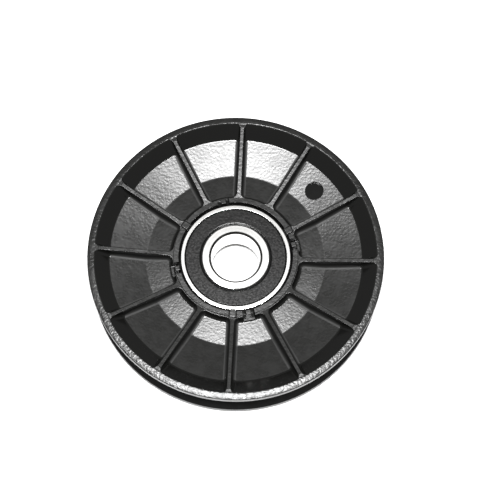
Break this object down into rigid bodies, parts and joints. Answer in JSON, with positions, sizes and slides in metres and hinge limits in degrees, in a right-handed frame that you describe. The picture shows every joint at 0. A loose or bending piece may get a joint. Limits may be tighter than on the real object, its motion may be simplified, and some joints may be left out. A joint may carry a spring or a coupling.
{
  "type": "belt idler pulley",
  "caption": "Ribbed plastic V-belt idler pulley moulded round a sealed ball bearing, which turns freely on a bolt or stud through its bore.",
  "frame": {"origin": "on the axis of the bore, halfway through the bearing and the pulley", "axes": "+Z along the bore's axis out of the upper face, the one with the notches; one rib of each face lies along +Y"},
  "size_m": [0.1012, 0.1012, 0.0188],
  "materials": {
    "moulding": "fine moulded grain",
    "ring_steel": "ground",
    "ball_steel": "polished",
    "cage_steel": "pressed",
    "rivet_steel": "formed",
    "seal_rubber": "matt",
    "insert_steel": "pressed"
  },
  "bodies": {
    "inner_ring": {"bearing_inner_ring": "ring_steel"},
    "pulley": {"pulley_body": "moulding", "bearing_outer_ring": "ring_steel", "seal_upper": "seal_rubber", "seal_lower": "seal_rubber", "seal_insert_upper": "insert_steel", "seal_insert_lower": "insert_steel"},
    "cage": {"cage_upper": "cage_steel", "cage_lower": "cage_steel", "cage_rivets": "rivet_steel"},
    "rolling_ball_1": {"ball_1": "ball_steel"},
    "rolling_ball_2": {"ball_2": "ball_steel"},
    "rolling_ball_3": {"ball_3": "ball_steel"},
    "rolling_ball_4": {"ball_4": "ball_steel"},
    "rolling_ball_5": {"ball_5": "ball_steel"},
    "rolling_ball_6": {"ball_6": "ball_steel"},
    "rolling_ball_7": {"ball_7": "ball_steel"},
    "rolling_ball_8": {"ball_8": "ball_steel"}
  },
  "joints": [
    {"name": "pulley_spin", "type": "hinge", "parent": "inner_ring", "child": "pulley", "pos_m": [0, 0, 0], "axis": [0, 0, 1], "continuous": true},
    {"name": "cage_orbit", "type": "hinge", "parent": "inner_ring", "child": "cage", "pos_m": [0, 0, 0], "axis": [0, 0, 1], "continuous": true},
    {"name": "ball_1_spin", "type": "hinge", "parent": "cage", "child": "rolling_ball_1", "pos_m": [0.01425, 0, 0], "axis": [0, 0, 1], "continuous": true},
    {"name": "ball_2_spin", "type": "hinge", "parent": "cage", "child": "rolling_ball_2", "pos_m": [0.01008, 0.01008, 0], "axis": [0, 0, 1], "continuous": true},
    {"name": "ball_3_spin", "type": "hinge", "parent": "cage", "child": "rolling_ball_3", "pos_m": [0, 0.01425, 0], "axis": [0, 0, 1], "continuous": true},
    {"name": "ball_4_spin", "type": "hinge", "parent": "cage", "child": "rolling_ball_4", "pos_m": [-0.01008, 0.01008, 0], "axis": [0, 0, 1], "continuous": true},
    {"name": "ball_5_spin", "type": "hinge", "parent": "cage", "child": "rolling_ball_5", "pos_m": [-0.01425, 0, 0], "axis": [0, 0, 1], "continuous": true},
    {"name": "ball_6_spin", "type": "hinge", "parent": "cage", "child": "rolling_ball_6", "pos_m": [-0.01008, -0.01008, 0], "axis": [0, 0, 1], "continuous": true},
    {"name": "ball_7_spin", "type": "hinge", "parent": "cage", "child": "rolling_ball_7", "pos_m": [0, -0.01425, 0], "axis": [0, 0, 1], "continuous": true},
    {"name": "ball_8_spin", "type": "hinge", "parent": "cage", "child": "rolling_ball_8", "pos_m": [0.01008, -0.01008, 0], "axis": [0, 0, 1], "continuous": true}
  ],
  "couplings": [
    {"joint": "cage_orbit", "follows": "pulley_spin", "ratio": 0.61837},
    {"joint": "ball_1_spin", "follows": "pulley_spin", "ratio": 1.9937},
    {"joint": "ball_2_spin", "follows": "pulley_spin", "ratio": 1.9937},
    {"joint": "ball_3_spin", "follows": "pulley_spin", "ratio": 1.9937},
    {"joint": "ball_4_spin", "follows": "pulley_spin", "ratio": 1.9937},
    {"joint": "ball_5_spin", "follows": "pulley_spin", "ratio": 1.9937},
    {"joint": "ball_6_spin", "follows": "pulley_spin", "ratio": 1.9937},
    {"joint": "ball_7_spin", "follows": "pulley_spin", "ratio": 1.9937},
    {"joint": "ball_8_spin", "follows": "pulley_spin", "ratio": 1.9937}
  ]
}
